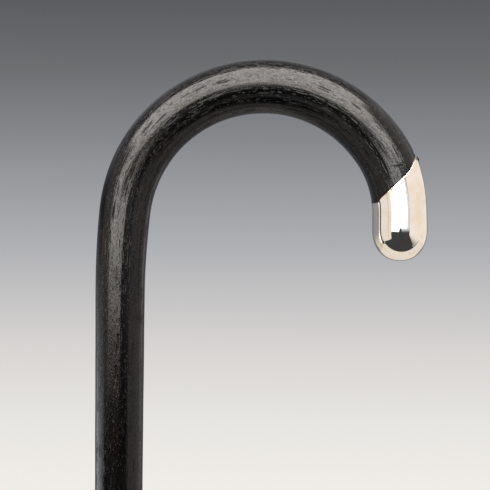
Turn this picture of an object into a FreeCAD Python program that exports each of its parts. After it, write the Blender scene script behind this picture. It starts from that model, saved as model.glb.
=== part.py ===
import FreeCAD, Part
import math
import os

from FreeCAD import Vector

# A crook-handled walking stick: one length of ebonised wood, steam-bent at the top,
# with a silver nose cap on the end of the crook and a brass ferrule with a steel heel at the foot.
# The origin is the centre of the heel's flat face. +Z runs up the shaft, and +X points
# from the shaft to the nose of the crook, which lies in the XZ plane. Sizes are in millimetres.

# The whole stick.
overall_height = 910.0  # from the heel's face to the top of the crook
cut_overrun = 8.0  # how far a cutting shape runs past what it cuts

# The wood: a shaft that swells gently towards the crook, and goes on swelling to the nose.
foot_diameter = 15.2  # just above the ferrule
middle_diameter = 17.5  # half way up the shaft
shaft_top_diameter = 20.6  # where the shaft leaves the straight
nose_diameter = 23.4  # at the end of the crook

# The crook: a slow lead out of the shaft, the round of the crook, and a tighter turn at the nose.
lead_radius = 350.0
lead_turn = 5.4  # degrees
crook_radius = 59.05
nose_turn = 34.6  # degrees
nose_radius = 49.0
nose_straight = 7.8  # plumb length below the last bend, down to where the round end begins

# The nose cap: thin sheet over the end of the wood, which is shaved down to go inside it.
cap_wall = 0.5
cap_joint_gap = 0.15  # the line of cement that shows between the wood and the cap's edge

# The cap's mouth: it slopes up from the inside of the crook, then bends up to a point outside.
mouth_height = 35.2  # above the cap's end, on the nose's own axis
mouth_slope = 44.0  # degrees above level
mouth_bend_start = 1.3  # how far outside the nose's axis the slope begins to steepen
mouth_bend_radius = 11.0
mouth_point_slope = 65.0  # degrees, from there out to the point

# The small round-headed nail below the cap's point.
nail_below_point = 2.1
nail_shank_diameter = 0.8
nail_length = 7.0
nail_head_diameter = 1.9
nail_head_height = 0.5

# The ferrule: a plain brass sleeve, held by two pins that are filed flush.
ferrule_diameter = 14.8
ferrule_wall = 0.9
ferrule_length = 36.0
ferrule_edge_chamfer = 0.35
shoulder_chamfer = 0.3  # takes the corner off the wood above the ferrule
ferrule_pin_diameter = 1.5
ferrule_pin_length = 4.6
ferrule_pin_from_top = 7.0
ferrule_pin_count = 2

# The heel: a steel plug with a spigot in the sleeve.
heel_diameter = 14.0
heel_height = 4.0
heel_spigot_height = 5.0
heel_foot_chamfer = 1.0
spigot_chamfer = 0.5

# Named clearances.
cap_clearance = 0.05  # between the wood's shaved-down end and the inside of the cap
peg_clearance = 0.05  # between the wood's foot and the sleeve, all round
spigot_clearance = 0.02


def heading(turned):
    """The way the stick runs after turning so many degrees from straight up towards the nose."""
    return Vector(math.sin(math.radians(turned)), 0, math.cos(math.radians(turned)))


def inward(turned):
    """The way to the centre of the bend, for a stretch that runs along heading(turned)."""
    return Vector(math.cos(math.radians(turned)), 0, -math.sin(math.radians(turned)))


def bend(start, turned, radius, turn):
    """An arc in the crook's plane. Gives its edge and its end."""
    centre = start + inward(turned) * radius
    middle = centre - inward(turned + turn / 2) * radius
    end = centre - inward(turned + turn) * radius
    return Part.Arc(start, middle, end).toShape(), end


def arc_length(radius, turn):
    return radius * math.radians(turn)


# How far along the bent part's middle line each stretch begins, and its whole length.
lead_length = arc_length(lead_radius, lead_turn)
crown_along = lead_length + arc_length(crook_radius, 90 - lead_turn)
nose_along = crown_along + arc_length(crook_radius, 90 - nose_turn)
straight_along = nose_along + arc_length(nose_radius, nose_turn)
bent_length = straight_along + nose_straight


def thickness(along):
    """The bent part's thickness so far along it: it grows quickly at first, then ever more gently."""
    left = 1 - along / bent_length
    return nose_diameter - (nose_diameter - shaft_top_diameter) * left * left


# Heights, from the foot up.
ferrule_top = heel_height + ferrule_length
lead_rise = lead_radius * math.sin(math.radians(lead_turn))
crook_rise = crook_radius * (1 - math.sin(math.radians(lead_turn)))
shaft_top = overall_height - thickness(crown_along) / 2 - crook_rise - lead_rise

# The middle line of the bent part, from the top of the straight shaft to where the round end begins.
shaft_end = Vector(0, 0, shaft_top)
lead_edge, lead_end = bend(shaft_end, 0.0, lead_radius, lead_turn)
rise_edge, crown = bend(lead_end, lead_turn, crook_radius, 90 - lead_turn)
fall_edge, nose_start = bend(crown, 90.0, crook_radius, 90 - nose_turn)
nose_edge, nose_end = bend(nose_start, 180 - nose_turn, nose_radius, nose_turn)
nose_centre = nose_start + inward(180 - nose_turn) * nose_radius
dome_start = nose_end - Vector(0, 0, nose_straight)
straight_edge = Part.LineSegment(nose_end, dome_start).toShape()
cap_end = dome_start - Vector(0, 0, nose_diameter / 2)


def circle(centre, normal, radius):
    return Part.Wire([Part.Circle(centre, normal, radius).toShape()])


def bent_bar(inset):
    """The swelling bar along the bent part, swept stretch by stretch, with its whole surface set in by inset."""
    stations = [
        (0.0, shaft_end, 0.0),
        (lead_length, lead_end, lead_turn),
        (crown_along, crown, 90.0),
        (nose_along, nose_start, 180 - nose_turn),
        (straight_along, nose_end, 180.0),
        (bent_length, dome_start, 180.0),
    ]
    stretches = []
    for k, edge in enumerate([lead_edge, rise_edge, fall_edge, nose_edge, straight_edge]):
        sweep = Part.BRepOffsetAPI.MakePipeShell(Part.Wire([edge]))
        for along, centre, turned_so_far in stations[k : k + 2]:
            sweep.add(circle(centre, heading(turned_so_far), thickness(along) / 2 - inset))
        sweep.build()
        sweep.makeSolid()
        stretches.append(sweep.shape())
    return stretches[0].fuse(stretches[1:])


def turned(profile_edges, centre):
    """A solid turned about the upright line through centre, from half its outline."""
    face = Part.Face(Part.Wire(profile_edges))
    return face.revolve(centre, Vector(0, 0, 1), 360)


def lines(points, closed=False):
    """Straight edges from each point to the next."""
    ends = points[1:] + points[:1] if closed else points[1:]
    return [Part.LineSegment(a, b).toShape() for a, b in zip(points, ends)]


def nose_form(inset):
    """The bent bar with its round end: the outside of the cap, the hollow in it, or the wood inside."""
    round_end = Part.makeSphere(nose_diameter / 2 - inset, dome_start, Vector(0, 0, 1), -90, 0, 360)
    return bent_bar(inset).fuse(round_end).removeSplitter()


def mouth_line(drop):
    """The mouth as seen from the side, from inside to outside: the ends of its two slopes, and its bend."""
    slope = math.radians(mouth_slope)
    point_slope = math.radians(mouth_point_slope)
    on_axis = cap_end + Vector(0, 0, mouth_height - drop)
    start = on_axis + Vector(mouth_bend_start, 0, mouth_bend_start * math.tan(slope))

    def on_bend(angle):
        across = math.sin(angle) - math.sin(slope)
        up = math.cos(slope) - math.cos(angle)
        return start + Vector(across, 0, up) * mouth_bend_radius

    end = on_bend(point_slope)
    reach = nose_diameter + cut_overrun
    inner = start - Vector(math.cos(slope), 0, math.sin(slope)) * reach
    outer = end + Vector(math.cos(point_slope), 0, math.sin(point_slope)) * reach
    return inner, start, on_bend((slope + point_slope) / 2), end, outer


def cap_side(drop):
    """All that lies on the cap's side of the mouth, once the mouth is lowered by drop."""
    inner, start, middle, end, outer = mouth_line(drop)
    below = cap_end.z - cut_overrun
    around = lines([end, outer, Vector(outer.x, 0, below), Vector(inner.x, 0, below), inner, start])
    face = Part.Face(Part.Wire(around + [Part.Arc(start, middle, end).toShape()]))
    face.translate(Vector(0, -nose_diameter, 0))
    return face.extrude(Vector(0, 2 * nose_diameter, 0))


def mouth_point_angle():
    """How far above level the mouth's point stands, seen from the centre of the nose's bend."""
    inner, start, middle, end, outer = mouth_line(0.0)
    slope = math.radians(mouth_point_slope)
    seen = end - nose_centre
    off_line = seen.x * math.sin(slope) - seen.z * math.cos(slope)
    return slope - math.asin(off_line / (nose_radius + nose_diameter / 2))


def cap_nail():
    """A nail with a domed head, driven square to the cap's outer side just below its point."""
    angle = mouth_point_angle() - nail_below_point / (nose_radius + nose_diameter / 2)
    from_dome = nose_straight + arc_length(nose_radius, math.degrees(angle))
    out = Vector(math.cos(angle), 0, math.sin(angle))
    seat = nose_centre + out * (nose_radius + thickness(bent_length - from_dome) / 2)
    inner_end = seat - out * nail_length
    shank = Part.makeCylinder(nail_shank_diameter / 2, nail_length + nail_head_height / 2, inner_end, out)
    head_radius = nail_head_diameter / 2
    ball = (head_radius**2 + nail_head_height**2) / (2 * nail_head_height)
    head = Part.makeSphere(ball, seat - out * (ball - nail_head_height))
    head = head.common(Part.makeCylinder(ball, ball, seat, out))
    return shank, head.fuse(shank).removeSplitter()


def wood_shaft():
    """The straight shaft above the ferrule, turned from a gently swelling outline."""
    middle_height = (ferrule_top + shaft_top) / 2
    foot = Vector(foot_diameter / 2, 0, ferrule_top + shoulder_chamfer)
    top = Vector(shaft_top_diameter / 2, 0, shaft_top)
    outline = Part.Arc(foot, Vector(middle_diameter / 2, 0, middle_height), top)
    rest = [
        top,
        shaft_end,
        Vector(0, 0, ferrule_top),
        Vector(foot_diameter / 2 - shoulder_chamfer, 0, ferrule_top),
        foot,
    ]
    return turned([outline.toShape()] + lines(rest), Vector(0, 0, 0))


def wood_foot_peg():
    """The turned-down foot that fills the ferrule, down to the heel's spigot."""
    bottom = heel_height + heel_spigot_height
    radius = ferrule_diameter / 2 - ferrule_wall - peg_clearance
    return Part.makeCylinder(radius, ferrule_top - bottom, Vector(0, 0, bottom))


def ferrule_pins():
    """Short pins through the sleeve, their outer ends filed to its surface."""
    height = ferrule_top - ferrule_pin_from_top
    outside = ferrule_diameter / 2
    pins = []
    for k in range(ferrule_pin_count):
        turn = math.radians(90 + 360 * k / ferrule_pin_count)
        out = Vector(math.cos(turn), math.sin(turn), 0)
        start = out * (outside - ferrule_pin_length) + Vector(0, 0, height)
        pins.append(Part.makeCylinder(ferrule_pin_diameter / 2, ferrule_pin_length + cut_overrun, start, out))
    sleeve = Part.makeCylinder(outside, ferrule_length, Vector(0, 0, heel_height))
    return Part.makeCompound([pin.common(sleeve) for pin in pins])


def ferrule_sleeve():
    outside = ferrule_diameter / 2
    inside = outside - ferrule_wall
    edge = ferrule_edge_chamfer
    outline = [
        Vector(inside, 0, heel_height),
        Vector(outside - edge, 0, heel_height),
        Vector(outside, 0, heel_height + edge),
        Vector(outside, 0, ferrule_top - edge),
        Vector(outside - edge, 0, ferrule_top),
        Vector(inside, 0, ferrule_top),
    ]
    return turned(lines(outline, closed=True), Vector(0, 0, 0))


def ferrule_heel():
    foot = heel_diameter / 2
    spigot = ferrule_diameter / 2 - ferrule_wall - spigot_clearance
    top = heel_height + heel_spigot_height
    outline = [
        Vector(0, 0, 0),
        Vector(foot - heel_foot_chamfer, 0, 0),
        Vector(foot, 0, heel_foot_chamfer),
        Vector(foot, 0, heel_height),
        Vector(spigot, 0, heel_height),
        Vector(spigot, 0, top - spigot_chamfer),
        Vector(spigot - spigot_chamfer, 0, top),
        Vector(0, 0, top),
    ]
    return turned(lines(outline, closed=True), Vector(0, 0, 0))


def build():
    """Every piece of the stick, by name."""
    nose = nose_form(0.0)
    hollow = nose_form(cap_wall)
    capped = cap_side(0.0)
    nail_shank, nail = cap_nail()
    pins = ferrule_pins()

    nose_peg = nose_form(cap_wall + cap_clearance).common(cap_side(-cut_overrun))
    stick = wood_shaft().fuse([wood_foot_peg(), nose.cut(capped), nose_peg]).removeSplitter()
    sheet = nose.cut(hollow)
    cap = sheet.common(cap_side(cap_joint_gap))
    cement = sheet.common(capped).cut(cap_side(cap_joint_gap))

    return {
        "wood_stick": stick.cut([nail_shank, pins]),
        "nose_cap": cap.cut(nail_shank),
        "nose_cap_cement": cement,
        "nose_cap_nail": nail,
        "ferrule_sleeve": ferrule_sleeve().cut(pins),
        "ferrule_pins": pins,
        "ferrule_heel": ferrule_heel(),
    }


def main():
    os.makedirs("parts", exist_ok=True)
    for name, shape in build().items():
        box = shape.optimalBoundingBox()
        print(
            f"{name}: {len(shape.Solids)} solid(s), {shape.Volume:.1f} mm3, valid {shape.isValid()}, "
            f"x {box.XMin:.2f}..{box.XMax:.2f} y {box.YMin:.2f}..{box.YMax:.2f} z {box.ZMin:.2f}..{box.ZMax:.2f}"
        )
        shape.exportStep(f"parts/{name}.step")


main()
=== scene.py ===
import bpy
import numpy as np
from mathutils import Matrix, Vector


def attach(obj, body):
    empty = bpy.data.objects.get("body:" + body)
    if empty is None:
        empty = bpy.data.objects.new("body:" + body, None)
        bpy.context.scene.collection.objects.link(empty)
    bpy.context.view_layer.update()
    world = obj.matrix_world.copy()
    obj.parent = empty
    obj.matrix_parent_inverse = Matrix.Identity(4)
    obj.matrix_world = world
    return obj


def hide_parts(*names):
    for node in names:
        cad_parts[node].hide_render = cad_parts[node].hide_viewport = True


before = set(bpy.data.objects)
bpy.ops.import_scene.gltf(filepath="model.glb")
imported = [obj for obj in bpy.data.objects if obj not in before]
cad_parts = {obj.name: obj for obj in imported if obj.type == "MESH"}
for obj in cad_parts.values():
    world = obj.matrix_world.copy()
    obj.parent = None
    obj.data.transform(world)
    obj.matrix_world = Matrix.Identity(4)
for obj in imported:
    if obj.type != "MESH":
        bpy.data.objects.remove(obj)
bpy.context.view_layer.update()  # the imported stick: every node in place, in metres
print("loaded the stick:", len(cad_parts), "nodes")

scene = bpy.context.scene
scene.view_settings.view_transform = "Standard"
mm = 0.001
toMm = (1000, 1000, 1000)  # metres to mm, on each axis


# sRGB hex to the linear colour that the shaders work in
def fromHex(code):
    shares = [int(code[k:k + 2], 16) / 255 for k in (1, 3, 5)]
    return [c / 12.92 if c <= 0.04045 else ((c + 0.055) / 1.055) ** 2.4 for c in shares] + [1.0]


# adds one node; a node or socket among the inputs is linked, anything else is its value
def addNode(tree, kind, inputs=None, **settings):
    node = tree.nodes.new(kind)
    for name, value in settings.items():
        setattr(node, name, value)
    for key, value in (inputs or {}).items():
        if isinstance(value, bpy.types.Node):
            value = value.outputs[0]
        if isinstance(value, bpy.types.NodeSocket):
            tree.links.new(value, node.inputs[key])
        else:
            node.inputs[key].default_value = value
    return node


# a place with each axis multiplied by its own factor
def stretched(tree, place, factors):
    return addNode(tree, "ShaderNodeVectorMath", {0: place, 1: factors}, operation="MULTIPLY")


# the factors that give a pattern cells of these sizes in mm: one over each size
def perMm(sizes):
    return tuple(1 / size for size in sizes)


# a new material, with its node tree and its shader
def newMaterial(name):
    material = bpy.data.materials.new(name)
    material.use_nodes = True
    return material, material.node_tree, material.node_tree.nodes["Principled BSDF"]


# a closed skin from rows of points: each row is a ring, ring k is joined to ring k+1,
# and the first and last rings close to the point at their middle, or to each other when looped
def skin(name, rings, material, looped=False, places=None):
    rows, cols = rings.shape[:2]
    index = np.arange(rows * cols).reshape(rows, cols)
    nextRow = np.roll(index, -1, axis=0) if looped else index[1:]
    thisRow = index if looped else index[:-1]
    quads = np.stack([thisRow, np.roll(thisRow, -1, axis=1), np.roll(nextRow, -1, axis=1), nextRow], axis=-1)
    faces = quads.reshape(-1, 4).tolist()
    points = rings.reshape(-1, 3)
    if places is not None:
        places = places.reshape(-1, 3)
    if not looped:
        first, last = rows * cols, rows * cols + 1
        points = np.vstack([points, rings[0].mean(0), rings[-1].mean(0)])
        low, high = index[0], index[-1]
        faces += np.stack([np.roll(low, -1), low, np.full(cols, first)], axis=-1).tolist()
        faces += np.stack([high, np.roll(high, -1), np.full(cols, last)], axis=-1).tolist()
        if places is not None:
            places = np.vstack([places, places[:cols].mean(0), places[-cols:].mean(0)])
    mesh = bpy.data.meshes.new(name)
    mesh.from_pydata((points * mm).tolist(), [], faces)
    mesh.polygons.foreach_set("use_smooth", [True] * len(mesh.polygons))
    if places is not None:
        attribute = mesh.attributes.new("straightStick", "FLOAT_VECTOR", "POINT")
        attribute.data.foreach_set("vector", (places * mm).astype(np.float32).ravel())
    mesh.materials.append(material)
    mesh.update()
    piece = bpy.data.objects.new(name, mesh)
    scene.collection.objects.link(piece)
    return piece


# gives each point of a skin a number that its finish reads: a row for each ring, then the two end points
def pointShares(piece, name, rows, ends):
    shares = np.concatenate([np.stack(rows).ravel(), ends])
    attribute = piece.data.attributes.new(name, "FLOAT", "POINT")
    attribute.data.foreach_set("value", shares.astype(np.float32))


# rounds the corners of an outline: each corner gives way to three points of the
# curve that leaves one side, pulls to the corner and meets the other side
def softCorners(outline, softness):
    outline = np.asarray(outline, float)
    corner, before, after = outline[1:-1], outline[:-2], outline[2:]
    toBefore = (before - corner) / np.linalg.norm(before - corner, axis=1, keepdims=True)
    toAfter = (after - corner) / np.linalg.norm(after - corner, axis=1, keepdims=True)
    start, end = corner + toBefore * softness, corner + toAfter * softness
    soft = np.stack([start, (start + 2 * corner + end) / 4, end], axis=1).reshape(-1, 2)
    return np.vstack([outline[:1], soft, outline[-1:]])


# the stick's middle line and thickness: the same sizes as in the CAD, in mm and degrees
stick = dict(
    height=910.0,
    footThick=15.2,  # above the ferrule
    middleThick=17.5,  # half way up the shaft
    topThick=20.6,  # where the shaft leaves the straight
    noseThick=23.4,
    leadRadius=350.0, leadTurn=5.4,
    crookRadius=59.05,
    noseRadius=49.0, noseTurn=34.6, noseStraight=7.8,
    ferruleTop=40.0, shoulder=0.3,
    footPeg=6.45, footPegBottom=9.0,  # half thickness and lower end of the peg in the ferrule
)
leadTurn, noseTurn = np.radians([stick["leadTurn"], stick["noseTurn"]])
crookTurn = np.pi - leadTurn - noseTurn
leadLength, crookLength = stick["leadRadius"] * leadTurn, stick["crookRadius"] * crookTurn
bentLength = leadLength + crookLength + stick["noseRadius"] * noseTurn + stick["noseStraight"]


# thickness of the bent part: nose - (nose - top) (share of the way left)^2,
# so it swells fast and then hardly more
def swelling(bent):
    left = 1 - np.clip(bent, 0, bentLength) / bentLength
    return stick["noseThick"] - (stick["noseThick"] - stick["topThick"]) * left ** 2


crownThick = swelling(leadLength + stick["crookRadius"] * (np.pi / 2 - leadTurn))
shaftTop = (stick["height"] - crownThick / 2 - stick["crookRadius"] * (1 - np.sin(leadTurn))
            - stick["leadRadius"] * np.sin(leadTurn))
domeStart = shaftTop + bentLength  # measured along the middle line
# the middle line's runs: length, and radius where it bends
runs = [(shaftTop, None), (leadLength, stick["leadRadius"]), (crookLength, stick["crookRadius"]),
        (stick["noseRadius"] * noseTurn, stick["noseRadius"]), (stick["height"], None)]


# the middle line: a straight run adds its length ahead; a bend of radius R adds
# R sin(b) ahead and R (1 - cos b) inwards, where b is the length run divided by R
def middleLine(along):
    place, heading = np.zeros(along.shape + (3,)), np.zeros(along.shape)
    start, turned = 0.0, 0.0
    for length, radius in runs:
        part = np.clip(along - start, 0, length)[..., None]
        ahead = np.array([np.sin(turned), 0, np.cos(turned)])
        inward = np.array([np.cos(turned), 0, -np.sin(turned)])
        if radius is None:
            place += part * ahead
        else:
            place += radius * (np.sin(part / radius) * ahead + (1 - np.cos(part / radius)) * inward)
            heading += part[..., 0] / radius
            turned += length / radius
        start += length
    outward = np.stack([-np.cos(heading), np.zeros_like(heading), np.sin(heading)], axis=-1)
    return place, outward


# half the thickness: on the shaft the parabola through its foot, middle and top, and then the swelling
def halfThick(along):
    up = (along - stick["ferruleTop"]) / (shaftTop - stick["ferruleTop"])
    shaft = (stick["footThick"] * 2 * (up - 0.5) * (up - 1) + stick["middleThick"] * 4 * up * (1 - up)
             + stick["topThick"] * 2 * up * (up - 0.5))
    return np.where(along < shaftTop, shaft, swelling(along - shaftTop)) / 2


# a point on a round bar: the middle line, plus radius times
# (cos(turn) outwards from the crook + sin(turn) towards the front)
def barPoint(along, radius, turn):
    place, outward = middleLine(along)
    front = np.array([0.0, -1.0, 0.0])
    return place + radius[..., None] * (np.cos(turn)[..., None] * outward + np.sin(turn)[..., None] * front)


# along, radius and turn of every point, from rows of (along, radius), each one number or one for each point
def rowGrid(rows, turn):
    along = np.stack([np.broadcast_to(row[0], turn.shape) for row in rows]).astype(float)
    radius = np.stack([np.broadcast_to(row[1], turn.shape) for row in rows]).astype(float)
    return along, radius, np.broadcast_to(turn, along.shape)


# rings of points round the bent bar
def barRings(rows, turn):
    return barPoint(*rowGrid(rows, turn))


# the same points as they would lie if the stick were straightened: radius cos(turn), radius sin(turn), along
def straightened(rows, turn):
    along, radius, turns = rowGrid(rows, turn)
    return np.stack([radius * np.cos(turns), radius * np.sin(turns), along], axis=-1)


# turns evenly round a ring, in radians
def ringTurns(points):
    return np.arange(points) * 2 * np.pi / points


# how far a turn is from a centre, the short way round
def turnFrom(turn, centre):
    return (turn - centre + np.pi) % (2 * np.pi) - np.pi


# eases from 0 to 1: x^2 (3 - 2 x)
def easeUp(x):
    x = np.clip(x, 0, 1)
    return x * x * (3 - 2 * x)


# the cap's mouth: a sloping, bent cut through the nose
mouth = dict(
    height=35.2,  # above the cap's end, on the nose's axis
    slope=44.0, pointSlope=65.0,  # degrees above level
    bendStart=1.3, bendRadius=11.0,
    gap=0.2,  # the line of cement; drawn a little wide so that it shows
    tabWidth=1.55, tabDrop=0.9, tabSlope=0.18,  # the blunt lower end of the mouth, inside the crook
    tabEase=1.1,  # how wide its change to the slope is
    wall=0.5, pegGap=0.05,
    searchRun=62.0, halvings=40,  # the mouth is looked for in the last 62 mm before the dome
)
domeCentre = middleLine(np.array([domeStart]))[0][0]
capEnd = domeCentre[2] - stick["noseThick"] / 2


# height of the mouth above the foot at x: a straight slope, an arc R (cos a0 - cos a) that steepens it,
# and a second slope out to the point; at the inner end it flattens into a blunt tab
def mouthLine(x):
    slope, pointSlope = np.radians([mouth["slope"], mouth["pointSlope"]])
    out = x - domeCentre[0] - mouth["bendStart"]
    arcWidth = mouth["bendRadius"] * (np.sin(pointSlope) - np.sin(slope))
    sine = np.sin(slope) + np.clip(out, 0, arcWidth) / mouth["bendRadius"]
    z = capEnd + mouth["height"] + mouth["bendStart"] * np.tan(slope)
    z = z + np.minimum(out, 0) * np.tan(slope)
    z = z + mouth["bendRadius"] * (np.cos(slope) - np.sqrt(1 - sine ** 2))
    z = z + np.maximum(out - arcWidth, 0) * np.tan(pointSlope)
    fromInside = x - (domeCentre[0] - stick["noseThick"] / 2)
    tabHeight = (capEnd + mouth["height"] + (mouth["tabWidth"] - stick["noseThick"] / 2) * np.tan(slope)
                 - mouth["tabDrop"] + mouth["tabSlope"] * (fromInside - mouth["tabWidth"]))
    tab = 1 - easeUp((fromInside - mouth["tabWidth"]) / mouth["tabEase"])
    return z * (1 - tab) + tabHeight * tab


# where a line along the bar, sunk by inset, meets the mouth lowered by drop:
# the interval is halved again and again, and the half that holds the meeting is kept
def mouthAlong(turn, inset=0.0, drop=0.0):
    low, high = np.full(turn.shape, domeStart - mouth["searchRun"]), np.full(turn.shape, domeStart)
    for _ in range(mouth["halvings"]):
        middle = (low + high) / 2
        point = barPoint(middle, halfThick(middle) - inset, turn)
        above = point[..., 2] > mouthLine(point[..., 0]) - drop
        low, high = np.where(above, middle, low), np.where(above, high, middle)
    return (low + high) / 2


# Ash, ebonised: stained black under a thin satin lacquer, its pores left open. The eye gets a soft
# grey sheen broken by short dark dashes along the grain, a breath of warm brown, and black elsewhere.
# Sizes are in mm; three of them together are for the two axes across the grain and the one along it.
woodFinish = dict(
    black="#010101", brown="#050302", pore="#010101",
    gloss=0.31, glossSpread=0.9, roughness=0.14, poreRoughness=0.24,
    poreLayers=((0.95, 9.0, 0.4), (0.55, 3.2, 0.32)),  # long and fine pores: apart across, along; reach
    poreVaries=0.8, poreLeast=0.35,  # shares of that reach: the part that varies, and the least
    poreDepth=0.1, poreGloss=0.35,  # how deep the pores are, and the share of the gloss left in them
    latePores=0.25, finePores=0.5,  # strength of the long pores in the late wood, and of the fine ones
    ringWidth=2.6, pith=(21.0, 7.0, 0.0),  # growth rings, and how far off the stick's middle they centre
    ringLean=0.012, drift=1.6, driftSize=(9, 9, 120),  # how they lean along the stick, and drift, in rings
    earlyDepth=0.02,
    patchSize=(5, 5, 28),  # where the brown wears through
    speckleSize=(0.42, 0.42, 0.84), speckleDepth=0.032,
    crackCentre=(2.08, 11.33, 998.96), crackRun=(0.96, -0.18, 0.21), crackHalf=2.7, crackWidth=0.36,
    crackFront=0.3, crackDepth=0.3,
)


def ebonisedAsh():
    look = woodFinish
    material, tree, shader = newMaterial("ebonisedOpenPoredAsh")
    place = addNode(tree, "ShaderNodeAttribute", attribute_name="straightStick").outputs["Vector"]
    inMm = stretched(tree, place, toMm)

    # growth rings: how far from the pith, drifting slowly along the stick; the early wood is the porous part
    slow = stretched(tree, inMm, perMm(look["driftSize"]))
    drift = addNode(tree, "ShaderNodeTexNoise", {"Vector": slow, "Scale": 1.0, "Detail": 2.0})
    fromPith = addNode(tree, "ShaderNodeVectorMath", {0: inMm, 1: look["pith"]}, operation="ADD")
    level = stretched(tree, fromPith, (1, 1, look["ringLean"]))
    distance = addNode(tree, "ShaderNodeVectorMath", {0: level}, operation="LENGTH").outputs["Value"]
    shift = addNode(tree, "ShaderNodeMath", {0: drift, 1: look["drift"]}, operation="MULTIPLY")
    count = addNode(tree, "ShaderNodeMath", {0: distance, 1: 1 / look["ringWidth"], 2: shift},
                    operation="MULTIPLY_ADD")
    ring = addNode(tree, "ShaderNodeMath", {0: count}, operation="FRACT")
    started = addNode(tree, "ShaderNodeMapRange", {"Value": ring, "From Min": 0.0, "From Max": 0.1},
                      interpolation_type="SMOOTHSTEP")
    earlyWood = addNode(tree, "ShaderNodeMapRange", {"Value": ring, "From Min": 0.35, "From Max": 0.6,
                        "To Min": started, "To Max": 0.0}, interpolation_type="SMOOTHSTEP")

    # open pores: one short dash in each long cell; each layer gives 1 in a pore and 0 outside it
    layers = []
    for across, along, size in look["poreLayers"]:
        cells = stretched(tree, inMm, perMm((across, across, along)))
        cell = addNode(tree, "ShaderNodeTexVoronoi", {"Vector": cells, "Scale": 1.0, "Randomness": 1.0})
        lot = addNode(tree, "ShaderNodeSeparateColor", {0: cell.outputs["Color"]})
        reach = addNode(tree, "ShaderNodeMath", {0: lot, 1: size * look["poreVaries"],
                        2: size * look["poreLeast"]}, operation="MULTIPLY_ADD")
        share = addNode(tree, "ShaderNodeMath", {0: cell.outputs["Distance"], 1: reach}, operation="DIVIDE")
        layers.append(addNode(tree, "ShaderNodeMapRange", {"Value": share, "From Min": 0.65,
                              "From Max": 1.15, "To Min": 1.0, "To Max": 0.0},
                              interpolation_type="SMOOTHSTEP"))
    inEarly = addNode(tree, "ShaderNodeMath", {0: earlyWood, 1: 1 - look["latePores"], 2: look["latePores"]},
                      operation="MULTIPLY_ADD")
    longPores = addNode(tree, "ShaderNodeMath", {0: layers[0], 1: inEarly}, operation="MULTIPLY")
    finePores = addNode(tree, "ShaderNodeMath", {0: layers[1], 1: look["finePores"]}, operation="MULTIPLY")
    pores = addNode(tree, "ShaderNodeMath", {0: longPores, 1: finePores}, operation="MAXIMUM")

    # the short crack across the grain near the cap: a thin oval, from its run and its width
    fromCrack = addNode(tree, "ShaderNodeVectorMath", {0: inMm, 1: look["crackCentre"]},
                        operation="SUBTRACT")
    run = np.array(look["crackRun"]) / np.linalg.norm(look["crackRun"])
    square = np.array([run[2], 0.0, -run[0]])
    shares = []
    for axis in (tuple(run / look["crackHalf"]), tuple(square / look["crackWidth"]),
                 (0.0, look["crackFront"], 0.0)):
        shares.append(addNode(tree, "ShaderNodeVectorMath", {0: fromCrack, 1: axis},
                              operation="DOT_PRODUCT").outputs["Value"])
    oval = addNode(tree, "ShaderNodeCombineXYZ", dict(enumerate(shares)))
    fromMiddle = addNode(tree, "ShaderNodeVectorMath", {0: oval}, operation="LENGTH").outputs["Value"]
    crack = addNode(tree, "ShaderNodeMapRange", {"Value": fromMiddle, "From Min": 0.5, "From Max": 1.2,
                    "To Min": 1.0, "To Max": 0.0}, interpolation_type="SMOOTHSTEP")

    # relief in mm: pores and crack sink, early wood sinks a little, and the lacquer is finely uneven
    fine = stretched(tree, inMm, perMm(look["speckleSize"]))
    speckle = addNode(tree, "ShaderNodeTexNoise", {"Vector": fine, "Scale": 1.0, "Detail": 3.0,
                      "Roughness": 0.6})
    relief = addNode(tree, "ShaderNodeMath", {0: speckle, 1: look["speckleDepth"]}, operation="MULTIPLY")
    for hollow, depth in ((pores, look["poreDepth"]), (earlyWood, look["earlyDepth"]),
                          (crack, look["crackDepth"])):
        relief = addNode(tree, "ShaderNodeMath", {0: hollow, 1: -depth, 2: relief}, operation="MULTIPLY_ADD")
    bump = addNode(tree, "ShaderNodeBump", {"Height": relief, "Distance": mm, "Strength": 1.0})

    # colour: black with a little brown worn through, and plain black in pores, crack and bare wood
    patches = stretched(tree, inMm, perMm(look["patchSize"]))
    worn = addNode(tree, "ShaderNodeTexNoise", {"Vector": patches, "Scale": 1.0, "Detail": 4.0})
    wear = addNode(tree, "ShaderNodeMapRange", {"Value": worn, "From Min": 0.45, "From Max": 0.75})
    stain = addNode(tree, "ShaderNodeMix", {0: wear, 6: fromHex(look["black"]), 7: fromHex(look["brown"])},
                    data_type="RGBA")
    bare = addNode(tree, "ShaderNodeAttribute", attribute_name="bareWood").outputs["Fac"]
    dark = addNode(tree, "ShaderNodeMath", {0: pores, 1: crack}, operation="MAXIMUM")
    dark = addNode(tree, "ShaderNodeMath", {0: dark, 1: bare}, operation="MAXIMUM")
    colour = addNode(tree, "ShaderNodeMix", {0: dark, 6: stain.outputs[2], 7: fromHex(look["pore"])},
                     data_type="RGBA")
    rough = addNode(tree, "ShaderNodeMapRange", {"Value": dark, "To Min": look["roughness"],
                    "To Max": look["poreRoughness"]})
    # the lacquer's gloss: finely broken up, and a third of it left in the pores
    spread = look["glossSpread"] / 2
    broken = addNode(tree, "ShaderNodeMapRange", {"Value": speckle, "From Min": 0.3, "From Max": 0.7,
                     "To Min": look["gloss"] * (1 - spread), "To Max": look["gloss"] * (1 + spread)})
    gloss = addNode(tree, "ShaderNodeMapRange", {"Value": dark, "To Min": broken,
                    "To Max": look["gloss"] * look["poreGloss"]})
    tree.links.new(colour.outputs[2], shader.inputs["Base Color"])
    tree.links.new(rough.outputs[0], shader.inputs["Roughness"])
    tree.links.new(bump.outputs[0], shader.inputs["Normal"])
    tree.links.new(gloss.outputs[0], shader.inputs["Specular IOR Level"])
    return material


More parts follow.
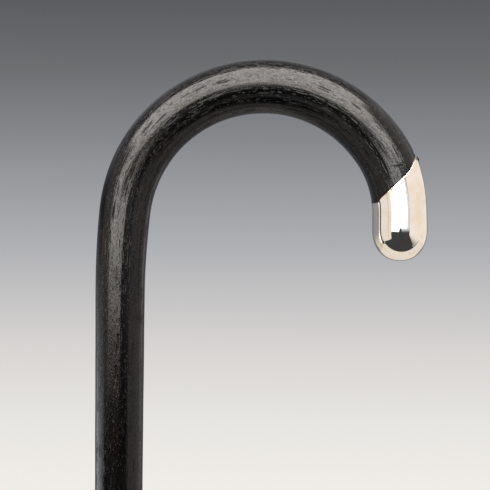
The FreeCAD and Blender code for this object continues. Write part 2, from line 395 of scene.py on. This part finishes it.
# Sterling silver, raised by hand and polished: a mirror with slow ripples, faint hairlines and a few knocks,
# clouded warm here and there, with a thin brown line of tarnish where the polishing cloth doesn't reach.
silverFinish = dict(
    silver="#f7f3ea", warm="#f2e7d6", tarnish="#8a7358",
    roughness=0.045, tarnishRoughness=0.3,
    ripple=9.0, rippleDepth=0.012, cloud=5.5,  # mm
    hairline=0.35, hairlineStretch=(1, 1, 0.06), hairlineDepth=0.0006,
)


def polishedSilver():
    look = silverFinish
    material, tree, shader = newMaterial("polishedSterlingSilver")
    inMm = stretched(tree, addNode(tree, "ShaderNodeTexCoord").outputs["Object"], toMm)
    ripple = addNode(tree, "ShaderNodeTexNoise", {"Vector": inMm, "Scale": 1 / look["ripple"],
                     "Detail": 1.0})
    drawn = stretched(tree, inMm, tuple(s / look["hairline"] for s in look["hairlineStretch"]))
    hairs = addNode(tree, "ShaderNodeTexNoise", {"Vector": drawn, "Scale": 1.0, "Detail": 2.0})
    relief = addNode(tree, "ShaderNodeMath", {0: ripple, 1: look["rippleDepth"]}, operation="MULTIPLY")
    relief = addNode(tree, "ShaderNodeMath", {0: hairs, 1: look["hairlineDepth"], 2: relief},
                     operation="MULTIPLY_ADD")
    bump = addNode(tree, "ShaderNodeBump", {"Height": relief, "Distance": mm, "Strength": 1.0})
    # tarnish lies in blotches where the cap's own points ask for it
    edge = addNode(tree, "ShaderNodeAttribute", attribute_name="tarnish").outputs["Fac"]
    blotch = addNode(tree, "ShaderNodeTexNoise", {"Vector": inMm, "Scale": 1.2, "Detail": 3.0})
    film = addNode(tree, "ShaderNodeMapRange", {"Value": blotch, "From Min": 0.35, "From Max": 0.7})
    tarnish = addNode(tree, "ShaderNodeMath", {0: edge, 1: film}, operation="MULTIPLY")
    clouds = addNode(tree, "ShaderNodeTexNoise", {"Vector": inMm, "Scale": 1 / look["cloud"], "Detail": 3.0})
    haze = addNode(tree, "ShaderNodeMapRange", {"Value": clouds, "From Min": 0.38, "From Max": 0.66})
    clean = addNode(tree, "ShaderNodeMix", {0: haze, 6: fromHex(look["silver"]), 7: fromHex(look["warm"])},
                    data_type="RGBA")
    colour = addNode(tree, "ShaderNodeMix", {0: tarnish, 6: clean.outputs[2], 7: fromHex(look["tarnish"])},
                     data_type="RGBA")
    rough = addNode(tree, "ShaderNodeMapRange", {"Value": tarnish, "To Min": look["roughness"],
                    "To Max": look["tarnishRoughness"]})
    tree.links.new(colour.outputs[2], shader.inputs["Base Color"])
    tree.links.new(rough.outputs[0], shader.inputs["Roughness"])
    tree.links.new(bump.outputs[0], shader.inputs["Normal"])
    shader.inputs["Metallic"].default_value = 1.0
    return material


# Small fittings. Each is a metal or resin whose colour and gloss change in blotches and along scratches:
# base and worn colours, roughness, blotch and scratch sizes in mm, the scratches' stretch on each axis,
# and their depth in mm.
fittings = dict(
    # shellac cement, set in the joint: dull red-brown with a waxy gleam
    shellacCement=dict(base="#1c0c07", worn="#35180d", metallic=0.0, specular=0.2, roughness=0.5,
                       blotch=0.8, scratch=0.2, stretch=(1, 1, 1), depth=0.02),
    # a silver pin gone brown with tarnish and polish left round it: nearly black, dull
    tarnishedPin=dict(base="#15100b", worn="#3c3226", metallic=0.2, specular=0.05, roughness=0.42,
                      blotch=0.7, scratch=0.25, stretch=(1, 1, 1), depth=0.01),
    # drawn brass tube, turned bright and then handled: fine rings round it, dull brown in the low places
    turnedBrass=dict(base="#b8925a", worn="#7b5a30", metallic=1.0, specular=0.5, roughness=0.3,
                     blotch=5.0, scratch=0.16, stretch=(0.04, 0.04, 1), depth=0.004),
    # brass pins, filed flush: brighter than the tube, with straight file marks
    filedBrass=dict(base="#cdaa6c", worn="#8f6c3c", metallic=1.0, specular=0.5, roughness=0.35,
                    blotch=1.2, scratch=0.12, stretch=(0.1, 1, 1), depth=0.006),
    # turned mild steel, scuffed by the ground: grey, matt, scratched every way
    scuffedSteel=dict(base="#8f8e8b", worn="#5a5550", metallic=1.0, specular=0.5, roughness=0.42,
                      blotch=2.5, scratch=0.3, stretch=(1, 0.3, 0.3), depth=0.03),
)
wornDuller, scratchDuller = 0.18, 0.2  # roughness that wear adds, and that changes along the scratches


def fittingFinish(name):
    look = fittings[name]
    material, tree, shader = newMaterial(name)
    inMm = stretched(tree, addNode(tree, "ShaderNodeTexCoord").outputs["Object"], toMm)
    blotch = addNode(tree, "ShaderNodeTexNoise", {"Vector": inMm, "Scale": 1 / look["blotch"],
                     "Detail": 4.0})
    amount = addNode(tree, "ShaderNodeMapRange", {"Value": blotch, "From Min": 0.42, "From Max": 0.72})
    drawn = stretched(tree, inMm, tuple(s / look["scratch"] for s in look["stretch"]))
    scratch = addNode(tree, "ShaderNodeTexNoise", {"Vector": drawn, "Scale": 1.0, "Detail": 2.0})
    relief = addNode(tree, "ShaderNodeMath", {0: scratch, 1: look["depth"]}, operation="MULTIPLY")
    bump = addNode(tree, "ShaderNodeBump", {"Height": relief, "Distance": mm, "Strength": 1.0})
    colour = addNode(tree, "ShaderNodeMix", {0: amount, 6: fromHex(look["base"]), 7: fromHex(look["worn"])},
                     data_type="RGBA")
    duller = addNode(tree, "ShaderNodeMath", {0: amount, 1: wornDuller,
                     2: look["roughness"] - scratchDuller / 2}, operation="MULTIPLY_ADD")
    rough = addNode(tree, "ShaderNodeMath", {0: scratch, 1: scratchDuller, 2: duller},
                    operation="MULTIPLY_ADD")
    tree.links.new(colour.outputs[2], shader.inputs["Base Color"])
    tree.links.new(rough.outputs[0], shader.inputs["Roughness"])
    tree.links.new(bump.outputs[0], shader.inputs["Normal"])
    shader.inputs["Metallic"].default_value = look["metallic"]
    shader.inputs["Specular IOR Level"].default_value = look["specular"]
    return material


# the wood's skin, in mm; turns in radians
grown = dict(
    ringPoints=96, rowStep=1.5,
    endRing=0.6, softness=0.1,  # the ring that closes the foot's end, and how soft its corners are
    shoulderRun=1.0,  # the foot's rows end this far above the ferrule
    leanRun=70.0,  # over this length the rows lean over to follow the mouth
    cutLead=0.15,  # the body's last row stops this far above the mouth
    cutRows=((0.03, 0.0), (0.1, -0.01), (0.3, 0.0), (0.5, 0.0)),  # the cut: sunk by, and lowered by
    pegLead=0.05, pegRows=14, tipDegrees=(8, 89, 8),  # the peg in the cap, and the rings of its round tip
    wander=0.045,  # how far the hand-finished surface leaves a true round
    waves=((1.0, 131, 1, 1.3), (0.6, 67, -1, 0.6), (0.35, 29, 2, 2.1)),  # height, length, times round, start
    wanderGrows=30.0, wanderEnds=12.0,  # the lengths over which it grows at the foot and ends at the cap
    chipDepth=0.45, chipRun=1.2, chipReach=0.3, chipTurn=0.08,  # the chip at the cap's point
)


# three slow waves that run along and about the stick, each
# height sin(2 pi along / length + times round x turn + start)
def woodWander(along, turn):
    return grown["wander"] * sum(high * np.sin(2 * np.pi * along / length + times * turn + start)
                                 for high, length, times, start in grown["waves"])


# share of the wood chipped away where it meets the cap's point:
# exp(-(distance along / run)^2 - (turn / reach)^2)
def chipped(along, turn, mouthEdge):
    about = turnFrom(turn, grown["chipTurn"])
    return np.exp(-((along - mouthEdge) / grown["chipRun"]) ** 2 - (about / grown["chipReach"]) ** 2)


# the one length of wood, foot to nose: rings at even steps, each half the thickness out from the middle line
def makeWood():
    turn = ringTurns(grown["ringPoints"])
    foot, shoulder, top = stick["footThick"] / 2, stick["shoulder"], stick["ferruleTop"]
    peg, bottom = stick["footPeg"], stick["footPegBottom"]
    outline = [(bottom, grown["endRing"]), (bottom, peg), (top, peg), (top, foot - shoulder),
               (top + shoulder, foot), (top + grown["shoulderRun"], foot)]
    rows = softCorners(outline, grown["softness"]).tolist()
    bare = [np.zeros_like(turn)] * len(rows)
    # the body: even rows up the stick that lean over to follow the mouth near their end
    mouthEdge = mouthAlong(turn)
    bodyEnd = mouthEdge - grown["cutLead"]
    last = bodyEnd.mean()
    for base in np.arange(top + grown["rowStep"], last, grown["rowStep"]).tolist() + [last]:
        lean = np.clip((base - last + grown["leanRun"]) / grown["leanRun"], 0, 1)
        along = base + lean * (bodyEnd - last)
        steady = (easeUp((along - top - grown["shoulderRun"]) / grown["wanderGrows"])
                  * easeUp((mouthEdge - along) / grown["wanderEnds"]))
        missing = chipped(along, turn, mouthEdge)
        radius = halfThick(along) + steady * woodWander(along, turn) - grown["chipDepth"] * missing
        rows.append((along, radius))
        bare.append(missing)
    # the cut at the mouth, then the shaved-down end inside the cap and its round tip
    for inset, drop in grown["cutRows"]:
        along = mouthAlong(turn, inset, drop)
        rows.append((along, halfThick(along) - inset))
    inset = mouth["wall"] + mouth["pegGap"]
    start = mouthAlong(turn, inset) + grown["pegLead"]
    for share in np.linspace(0, 1, grown["pegRows"]):
        along = start + (domeStart - start) * share
        rows.append((along, halfThick(along) - inset))
    radius = stick["noseThick"] / 2 - inset
    for angle in np.radians(np.arange(*grown["tipDegrees"])):
        rows.append((domeStart + radius * np.sin(angle), radius * np.cos(angle)))
    bare += [np.ones_like(turn)] * (len(rows) - len(bare))
    wood = skin("woodStick", barRings(rows, turn), ebonisedAsh(), places=straightened(rows, turn))
    pointShares(wood, "bareWood", bare, [0.0, 1.0])
    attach(wood, "root")
    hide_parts("wood_stick")
    print("the wood:", len(wood.data.polygons), "faces")


# the silver cap, in mm; knocks in degrees about the nose
cap = dict(
    ringPoints=256, outerRows=130, rowCrowding=1.15, domeRows=44, domeDegrees=(3, 89.2),
    innerRows=16, innerDegrees=(87, 0, -6),
    lipShares=(0.06, 0.2, 0.4, 0.6, 0.8, 0.94),  # rows over the lip, as shares of the wall
    lip=0.015, lipRun=0.4, lipRound=0.12,  # the rolled lip: above the wood, down the cap, past the mouth
    outerStart=0.02,
    domeLead=2.1, domeFullness=2.25,  # the dome sets in this much early, and is this full (2 is an ellipse)
    proud=0.32, proudRun=5.0,  # the sheet stands off the wood at its point
    flat=0.3, flatAt=17.0, flatRun=8.0,  # and lies flatter below it, on the outer side
    # knocks: mm along from the point of the mouth, degrees about the nose, half width in mm
    knocks=((16.3, 32.3, 0.5), (30.6, 44.9, 0.45), (31.0, 161.5, 0.7), (32.6, 155.6, 0.6),
            (37.4, 66.0, 0.5), (36.9, 55.0, 0.5), (24.0, -70.0, 0.8), (12.0, -120.0, 0.6)),
    knockDepths=(0.03, 0.025, 0.05, 0.04, 0.03, 0.03, 0.05, 0.04),
    # how tarnished the lip, the edge below it and the knocks are, and how far the edge's tarnish runs down
    lipTarnish=0.3, edgeTarnish=0.45, knockTarnish=0.8, tarnishRun=0.4,
)


# how much of each knock there is at a place: exp(-(distance / half width)^2)
def capKnocks(along, turn, point):
    shares = []
    for down, degrees, width in cap["knocks"]:
        about = turnFrom(turn, np.radians(degrees)) * stick["noseThick"] / 2
        shares.append(np.exp(-((along - point - down) ** 2 + about ** 2) / width ** 2))
    return shares


# how far the silver's outside leaves the bar's own surface: a lip at the mouth, the sheet standing off at
# its point, a flatter stretch below it on the outer side, each exp(-(distance / run)^2), and the knocks
def capRelief(along, turn, mouthEdge):
    outer = np.clip(np.cos(turn), 0, 1) ** 2
    fromMouth = along - mouthEdge
    point = mouthEdge.min()
    relief = cap["lip"] * np.exp(-(fromMouth / cap["lipRun"]) ** 2)
    relief = relief + cap["proud"] * outer * np.exp(-(fromMouth / cap["proudRun"]) ** 2)
    relief = relief - cap["flat"] * outer * np.exp(-((along - point - cap["flatAt"]) / cap["flatRun"]) ** 2)
    for share, depth in zip(capKnocks(along, turn, point), cap["knockDepths"]):
        relief = relief - depth * share
    return relief


# the cap: rings from the inside of the dome up to the mouth, over the lip, and down the outside to the dome
def makeCap():
    turn = ringTurns(cap["ringPoints"])
    outerEdge = mouthAlong(turn, 0.0, mouth["gap"])
    innerEdge = mouthAlong(turn, mouth["wall"], mouth["gap"])
    point = outerEdge.min()
    inside, outside = stick["noseThick"] / 2 - mouth["wall"], stick["noseThick"] / 2
    rows = []
    for angle in np.radians(np.arange(*cap["innerDegrees"])):
        rows.append((domeStart + inside * np.sin(angle), inside * np.cos(angle)))
    for share in np.linspace(1, 0, cap["innerRows"]):
        along = innerEdge + (domeStart - innerEdge) * share
        rows.append((along, halfThick(along) - mouth["wall"]))
    tarnish = [np.zeros_like(turn)] * len(rows)
    # over the lip: a half round from the inside of the wall to its outside
    for share in cap["lipShares"]:
        along = innerEdge + (outerEdge - innerEdge) * share
        inset = mouth["wall"] * (1 - share)
        rows.append((along - cap["lipRound"] * np.sin(np.pi * share),
                     halfThick(along) - inset + capRelief(along, turn, outerEdge) * share))
        tarnish.append(np.full_like(turn, cap["lipTarnish"]))
    lead, start = domeStart - cap["domeLead"], cap["outerStart"]
    for share in np.linspace(0, 1, cap["outerRows"]) ** cap["rowCrowding"]:
        along = outerEdge + start + (lead - outerEdge - start) * share
        rows.append((along, halfThick(along) + capRelief(along, turn, outerEdge)))
        tarnish.append(cap["edgeTarnish"] * np.exp(-((along - outerEdge) / cap["tarnishRun"]) ** 2)
                       + cap["knockTarnish"] * sum(capKnocks(along, turn, point)))
    # the dome: a full ellipse, sin(angle)^(2/f) down its axis and cos(angle)^(2/f) out, so it sets in gently
    power = 2 / cap["domeFullness"]
    for angle in np.radians(np.linspace(*cap["domeDegrees"], cap["domeRows"])):
        along = lead + (outside + cap["domeLead"]) * np.sin(angle) ** power
        rows.append((along, (halfThick(lead) + capRelief(along, turn, outerEdge)) * np.cos(angle) ** power))
        tarnish.append(cap["knockTarnish"] * sum(capKnocks(along, turn, point)))
    silver = skin("silverNoseCap", barRings(rows, turn), polishedSilver())
    pointShares(silver, "tarnish", tarnish, [0.0, 0.0])
    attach(silver, "root")
    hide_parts("nose_cap")
    print("the silver cap:", len(silver.data.polygons), "faces")


cement = dict(
    ringPoints=192, deep=0.48,
    # its section: how far sunk in mm, and the share of the gap
    section=((0.1, 0.0), (0.05, 0.35), (0.05, 0.65), (0.1, 1.0), (0.48, 1.0), (0.48, 0.0)),
    lost=0.4, lostReach=0.25,  # a little has fallen out at the cap's point: depth in mm, reach in radians
)


# the line of cement in the joint, between the wood's cut and the cap's lip: a ring of six-sided
# section, sunk at the point by lost exp(-(turn / reach)^2)
def makeCementLine():
    turn = ringTurns(cement["ringPoints"])
    missing = cement["lost"] * np.exp(-(turnFrom(turn, 0.0) / cement["lostReach"]) ** 2)
    rows = []
    for inset, share in cement["section"]:
        inset = np.minimum(inset + missing, cement["deep"])
        along = mouthAlong(turn, inset, mouth["gap"] * share)
        rows.append((along, halfThick(along) - inset))
    line = skin("cementLine", barRings(rows, turn), fittingFinish("shellacCement"), looped=True)
    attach(line, "root")
    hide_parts("nose_cap_cement")
    print("the line of cement")


# the nail's head below the cap's point, in mm
nail = dict(
    belowPoint=1.75, halfLong=0.8, halfWide=0.6, height=0.65, ringPoints=32,
    seat=0.85,  # it sits on this share of the sheet's stand-off
    # its profile: share of the oval, and rise, which is negative where it is sunk
    profile=((1.0, -0.5), (1.0, -0.02), (0.97, 0.12), (0.9, 0.25), (0.75, 0.38), (0.5, 0.46), (0.2, 0.5)),
    topRise=0.5,
)


# an oval button, a little fuller than height x sqrt(1 - r^2) over its own oval
def makeNailHead():
    turn = ringTurns(nail["ringPoints"])
    point = mouthAlong(np.array([0.0]), 0.0, mouth["gap"])
    rings = []
    for share, rise in nail["profile"]:
        along = point + nail["belowPoint"] + nail["halfLong"] * share * np.cos(turn)
        about = -nail["halfWide"] * share * np.sin(turn) / (stick["noseThick"] / 2)
        seat = halfThick(along) + cap["proud"] * nail["seat"]
        rings.append(barPoint(along, seat + rise * nail["height"] / nail["topRise"], about))
    head = skin("capNailHead", np.stack(rings), fittingFinish("tarnishedPin"))
    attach(head, "root")
    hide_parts("nose_cap_nail")
    print("the nail's head")


# the ferrule's sleeve, heel and pins, in mm
ferrule = dict(
    thick=14.8, wall=0.9, bottom=4.0, top=40.0, edge=0.35, ringPoints=144,
    softness=0.1, middleGap=0.5,  # how soft the sleeve's corners are, and how far apart its two middle rows
    heelThick=14.0, heelHeight=4.0, spigotThick=12.96, spigotTop=9.0, footChamfer=1.0, spigotChamfer=0.5,
    heelSoftness=0.12, endRing=0.5,  # endRing is the small ring that closes each end of the heel
    pinThick=1.5, pinHeight=33.0, pinCrown=0.04, pinPoints=28,
    # a pin's profile from its inner end: share of its radius, depth in the sleeve, share of its crown
    pinProfile=((1.0, 4.6, 0.0), (1.0, 0.1, 0.0), (0.98, 0.0, 0.3), (0.85, 0.0, 0.7), (0.6, 0.0, 0.9),
                (0.3, 0.0, 1.0)),
)


# the sleeve and the heel are turned outlines; the pins follow the sleeve's curve, sqrt(R^2 - x^2)
def makeFerrule():
    turn = ringTurns(ferrule["ringPoints"])
    bottom, top, edge = ferrule["bottom"], ferrule["top"], ferrule["edge"]
    outside, inside = ferrule["thick"] / 2, ferrule["thick"] / 2 - ferrule["wall"]
    middle = (bottom + top) / 2
    upper = middle + ferrule["middleGap"]
    lowerHalf = softCorners([(middle, inside), (bottom, inside), (bottom, outside - edge),
                             (bottom + edge, outside), (middle, outside)], ferrule["softness"])
    upperHalf = softCorners([(upper, outside), (top - edge, outside), (top, outside - edge), (top, inside),
                             (upper, inside)], ferrule["softness"])
    rings = barRings(np.vstack([lowerHalf, upperHalf]).tolist(), turn)
    sleeve = skin("ferruleSleeve", rings, fittingFinish("turnedBrass"), looped=True)
    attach(sleeve, "root")
    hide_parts("ferrule_sleeve")

    heel, spigot, foot = ferrule["heelThick"] / 2, ferrule["spigotThick"] / 2, ferrule["footChamfer"]
    height, spigotTop, cut = ferrule["heelHeight"], ferrule["spigotTop"], ferrule["spigotChamfer"]
    outline = softCorners([(0.0, ferrule["endRing"]), (0.0, heel - foot), (foot, heel), (height, heel),
                           (height, spigot), (spigotTop - cut, spigot), (spigotTop, spigot - cut),
                           (spigotTop, ferrule["endRing"])], ferrule["heelSoftness"])
    plug = skin("ferruleHeel", barRings(outline.tolist(), turn), fittingFinish("scuffedSteel"))
    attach(plug, "root")
    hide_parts("ferrule_heel")

    about = ringTurns(ferrule["pinPoints"])
    brass = fittingFinish("filedBrass")
    for name, side in (("ferrulePinFront", 1), ("ferrulePinBack", -1)):
        rings = []
        for share, deep, crown in ferrule["pinProfile"]:
            x = ferrule["pinThick"] / 2 * share * np.cos(about)
            z = ferrule["pinHeight"] + ferrule["pinThick"] / 2 * share * np.sin(about)
            y = -np.sqrt(outside ** 2 - x ** 2) + deep - ferrule["pinCrown"] * crown
            rings.append(np.stack([side * x, side * y, z], axis=-1))
        pin = skin(name, np.stack(rings), brass)
        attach(pin, "root")
        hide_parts("ferrule_pins")
    print("the ferrule: sleeve, heel and two pins")


makeWood()
makeCap()
makeCementLine()
makeNailHead()
makeFerrule()


studio = dict(
    # graded backdrop, from below to above: sine of the height angle, and the colour there
    backdrop=((-0.3, "#8f8d8a"), (-0.16, "#d9d6d2"), (-0.102, "#f0ede8"), (-0.073, "#e7e5e1"),
              (-0.044, "#d8d5d3"), (0.0, "#aeafb3"), (0.044, "#87888c"), (0.073, "#6d6e70"),
              (0.102, "#5b5c60"), (0.16, "#6a6b6f"), (0.35, "#bcbcbf")),
    darkRoom="#333438",  # the room on the camera's side, which only the finishes mirror
    fill=0.16,  # how much of an even light the surroundings give to dull surfaces
    floor="#8c8985", floorRadius=1.7, floorPoints=96, floorMottle=6.0, floorGloss=0.05,
    floorFade=(0.45, 0.98),  # shares of its radius between which it fades out
    panelPoints=64, panelPower=0.25,  # points round a panel, and the power that squares its corners
    panelFade=(0, 0.1),  # far below them all, so a panel that gives no heights doesn't fade
    # what the finishes mirror: centre and the point it faces, width and height, in metres, share of its
    # width lost at the top, how strongly and in what colour it glows, and the heights it fades in between
    panels=dict(
        softboxAbove=((-0.65, -0.642, 1.662), (-0.65, 0.033, 0.925), 3.5, 1.48, 0, 10.5, "#fffaf4"),
        windowLeft=((-0.82, -0.6, 0.97), (-0.82, 0, 0.97), 1.64, 0.56, 0, 8.2, "#fffaf4", 0.752, 0.82),
        darkFlag=((-0.16, -0.585, 0.957), (-0.16, 0, 0.957), 0.40, 0.13, 0, 0.05, "#f0f0ff", 0.89, 0.905),
        windowMiddle=((0.305, -0.605, 0.845), (0.305, 0, 0.845), 0.39, 0.31, 0, 0.95, "#e8f0ff", 0.74, 0.86),
        windowRight=((0.225, -0.595, 0.99), (0.225, 0, 0.99), 0.25, 0.2, 0, 9.0, "#fffaf4", 0.868, 0.928),
        reflectorRight=((1.1, 0.1, 0.6), (0, 0.1, 0.6), 3.2, 1.24, 0, 0.94, "#fff6f0", 0.0, 0.55),
        reflectorHigh=((1.0, -0.05, 1.42), (0.11, 0, 0.87), 1.66, 0.66, 0, 1.15, "#fffaf6"),
        reflectorLeft=((-1.05, -0.296, 0.85), (0, -0.296, 0.85), 1.168, 1.4, 0, 0.85, "#fff6f0", 0.62, 0.74),
        paleLowLeft=((-0.865, 0.37, 0.55), (0.085, 0.055, 0.55), 0.86, 0.5, 0, 3.0, "#f4f8ff", 0.80, 0.62),
        darkLowLeft=((-0.54, -0.286, 0.46), (0.11, -0.01, 0.835), 0.5, 0.36, 0.6, 0.06, "#e8ecff", -1, 0),
        # small cards held about the nose: the silver mirrors them in place of the larger panels behind them
        whiteCard=((0.1205, -0.0699, 0.8505), (0.1154, -0.0202, 0.8505), 0.0395, 0.035, -0.15, 6.5, "#ffffff",
                   0.8363, 0.8453),
        lowWhiteCard=((0.057, -0.068, 0.8390), (0.1125, -0.0108, 0.854), 0.030, 0.0215, 0, 1.15, "#ffffff"),
        creamCard=((0.0720, -0.0249, 0.8345), (0.1192, -0.0083, 0.8345), 0.0414, 0.043, 0, 0.85, "#fff6f0"),
        cardSeam=((0.0760, -0.0330, 0.8345), (0.1232, -0.0164, 0.8345), 0.0012, 0.043, 0, 0.5, "#ffdcc8"),
        darkCard=((0.0652, -0.0028, 0.8315), (0.11, -0.0028, 0.8315), 0.005, 0.049, 0, 0.03, "#e0e8ff"),
        brightCard=((0.0645, 0.0018, 0.8315), (0.11, 0.0018, 0.8315), 0.0042, 0.049, 0, 0.9, "#fff8f0"),
        greyCard=((0.0748, 0.0205, 0.8355), (0.1166, -0.007, 0.8355), 0.0353, 0.041, 0, 0.33, "#f6f6fa",
                  0.818, 0.834),
        paleCard=((0.0740, 0.0210, 0.815), (0.1158, -0.0065, 0.815), 0.0353, 0.044, 0, 0.68, "#fff6ea"),
        creamSheet=((0.14, 0.0195, 0.80), (0.14, 0.0195, 0.9), 0.17, 0.068, 0, 0.84, "#fff6ec"),
        darkSheet=((0.14, 0.0195, 0.7985), (0.14, 0.0195, 0.9), 0.176, 0.074, 0, 0.03, "#f0f0ff"),
        # behind the stick, and low in front of it
        greyFlagBehind=((0.075, 0.45, 0.76), (0.075, 0, 0.76), 0.75, 0.32, 0, 0.25, "#e8ecf4", 0.92, 0.86),
        darkRoomBelow=((0, -0.55, 0.40), (0, 0.1, 1.05), 1.9, 1.16, 0.45, 0.055, "#f4f4ff", -1, 0),
    ),
)


# the backdrop: a colour for each height; the finishes mirror a dark room in its place on the camera's side,
# and dull surfaces get an even light
def makeBackdrop():
    world = bpy.data.worlds.new("gradedBackdrop")
    scene.world = world
    world.use_nodes = True
    tree = world.node_tree
    tree.nodes.clear()
    direction = addNode(tree, "ShaderNodeTexCoord").outputs["Generated"]
    parts = addNode(tree, "ShaderNodeSeparateXYZ", {0: direction})
    height = parts.outputs["Z"]
    backdrop = studio["backdrop"]
    low, high = backdrop[0][0], backdrop[-1][0]
    share = addNode(tree, "ShaderNodeMapRange", {"Value": height, "From Min": low, "From Max": high})
    grade = addNode(tree, "ShaderNodeValToRGB", {0: share})
    stops = grade.color_ramp.elements
    stops[0].color, stops[1].color = fromHex(backdrop[0][1]), fromHex(backdrop[-1][1])
    for sine, colour in backdrop[1:-1]:
        stops.new((sine - low) / (high - low)).color = fromHex(colour)
    behind = addNode(tree, "ShaderNodeMapRange", {"Value": parts.outputs["Y"], "From Min": -0.15,
                     "From Max": 0.1})
    below = addNode(tree, "ShaderNodeMapRange", {"Value": height, "From Min": -0.3, "From Max": -0.2,
                    "To Min": 1.0, "To Max": behind})
    ray = addNode(tree, "ShaderNodeLightPath")
    pale = addNode(tree, "ShaderNodeMath", {0: below, 1: ray.outputs["Is Camera Ray"]}, operation="MAXIMUM")
    room = addNode(tree, "ShaderNodeMix", {0: pale, 6: fromHex(studio["darkRoom"]), 7: grade},
                   data_type="RGBA")
    seen = addNode(tree, "ShaderNodeBackground", {"Color": room.outputs[2], "Strength": 1.0})
    even = addNode(tree, "ShaderNodeBackground", {"Color": (1, 1, 1, 1), "Strength": studio["fill"]})
    sharp = ray.outputs["Is Camera Ray"]
    for kind in ("Is Glossy Ray", "Is Transmission Ray"):
        sharp = addNode(tree, "ShaderNodeMath", {0: sharp, 1: ray.outputs[kind]}, operation="MAXIMUM")
    mixed = addNode(tree, "ShaderNodeMixShader", {0: sharp, 1: even, 2: seen})
    addNode(tree, "ShaderNodeOutputWorld", {"Surface": mixed})
    print("the backdrop")


# one flat face through the points
def flatSheet(name, points, material):
    mesh = bpy.data.meshes.new(name)
    mesh.from_pydata(points.tolist(), [], [list(range(len(points)))])
    mesh.materials.append(material)
    sheet = bpy.data.objects.new(name, mesh)
    scene.collection.objects.link(sheet)
    return sheet


# the panels: sheets that glow and that the camera doesn't see, each a rounded rectangle,
# sign(cos) |cos|^power across and sign(sin) |sin|^power up
def makePanels():
    corner = ringTurns(studio["panelPoints"])
    across, up = [np.sign(wave) * np.abs(wave) ** studio["panelPower"]
                  for wave in (np.cos(corner), np.sin(corner))]
    for name, (centre, aim, wide, tall, narrowing, strength, colour, *heights) in studio["panels"].items():
        dim, full = heights or studio["panelFade"]
        material, tree = newMaterial(name)[:2]
        place = addNode(tree, "ShaderNodeTexCoord").outputs["Object"]
        level = addNode(tree, "ShaderNodeSeparateXYZ", {0: place})
        fade = addNode(tree, "ShaderNodeMapRange", {"Value": level.outputs["Z"], "From Min": dim,
                       "From Max": full}, interpolation_type="SMOOTHSTEP")
        glow = addNode(tree, "ShaderNodeEmission", {"Color": fromHex(colour), "Strength": strength})
        clear = addNode(tree, "ShaderNodeBsdfTransparent")
        faded = addNode(tree, "ShaderNodeMixShader", {0: fade, 1: clear, 2: glow})
        tree.links.new(faded.outputs[0], tree.nodes["Material Output"].inputs["Surface"])
        y = tall / 2 * up
        x = wide / 2 * across * (1 - narrowing * (y / tall + 0.5))
        facing = (Vector(aim) - Vector(centre)).to_track_quat("Z", "Y").to_matrix()
        points = np.stack([x, y, 0 * x], axis=-1) @ np.array(facing).T + np.array(centre)
        panel = flatSheet(name, points, material)
        panel.visible_camera = panel.visible_shadow = False
        panel.visible_diffuse = name == "softboxAbove"  # the big box alone lights the dull surfaces
    print("the panels:", len(studio["panels"]))


# the floor: a disc of matt grey paper that fades into the backdrop at its rim
def makeFloor():
    material, tree, shader = newMaterial("mattPaperFloor")
    place = addNode(tree, "ShaderNodeTexCoord").outputs["Object"]
    mottle = addNode(tree, "ShaderNodeTexNoise", {"Vector": place, "Scale": studio["floorMottle"],
                     "Detail": 3.0})
    tone = addNode(tree, "ShaderNodeMapRange", {"Value": mottle, "To Min": 0.8, "To Max": 0.9})
    shader.inputs["Base Color"].default_value = fromHex(studio["floor"])
    shader.inputs["Specular IOR Level"].default_value = studio["floorGloss"]
    tree.links.new(tone.outputs[0], shader.inputs["Roughness"])
    radius, (fadeStart, fadeEnd) = studio["floorRadius"], studio["floorFade"]
    out = addNode(tree, "ShaderNodeVectorMath", {0: place}, operation="LENGTH").outputs["Value"]
    fade = addNode(tree, "ShaderNodeMapRange", {"Value": out, "From Min": radius * fadeStart,
                   "From Max": radius * fadeEnd}, interpolation_type="SMOOTHSTEP")
    clear = addNode(tree, "ShaderNodeBsdfTransparent")
    faded = addNode(tree, "ShaderNodeMixShader", {0: fade, 1: shader, 2: clear})
    tree.links.new(faded.outputs[0], tree.nodes["Material Output"].inputs["Surface"])
    angle = ringTurns(studio["floorPoints"])
    disc = np.stack([radius * np.cos(angle), radius * np.sin(angle), 0 * angle], axis=-1)
    floor = flatSheet("studioFloor", disc, material)
    print("the floor")


# the photograph's angle: level, turned a little to the right, and leaning by a hair
view = dict(aim=(0.05217, 0.0, 0.83184), distance=1.008, turn=4.0, lean=0.46, lens=176.33, sensor=36.0,
            nearest=0.05, farthest=50.0)


# the camera stands back from its aim by its distance, and is rolled by its lean
def makeCamera():
    turn, lean = np.radians([view["turn"], view["lean"]])
    right = Vector((np.cos(turn), -np.sin(turn), 0))
    ahead = Vector((np.sin(turn), np.cos(turn), 0))
    up = Vector((0, 0, 1))
    cameraRight = right * np.cos(lean) + up * np.sin(lean)
    cameraUp = up * np.cos(lean) - right * np.sin(lean)
    data = bpy.data.cameras.new("photoView")
    data.sensor_width, data.lens = view["sensor"], view["lens"]
    data.clip_start, data.clip_end = view["nearest"], view["farthest"]
    camera = bpy.data.objects.new("photoView", data)
    camera.matrix_world = Matrix((cameraRight, cameraUp, -ahead)).transposed().to_4x4()
    camera.location = Vector(view["aim"]) - ahead * view["distance"]
    scene.collection.objects.link(camera)
    scene.camera = camera


makeBackdrop()
makePanels()
makeFloor()
makeCamera()
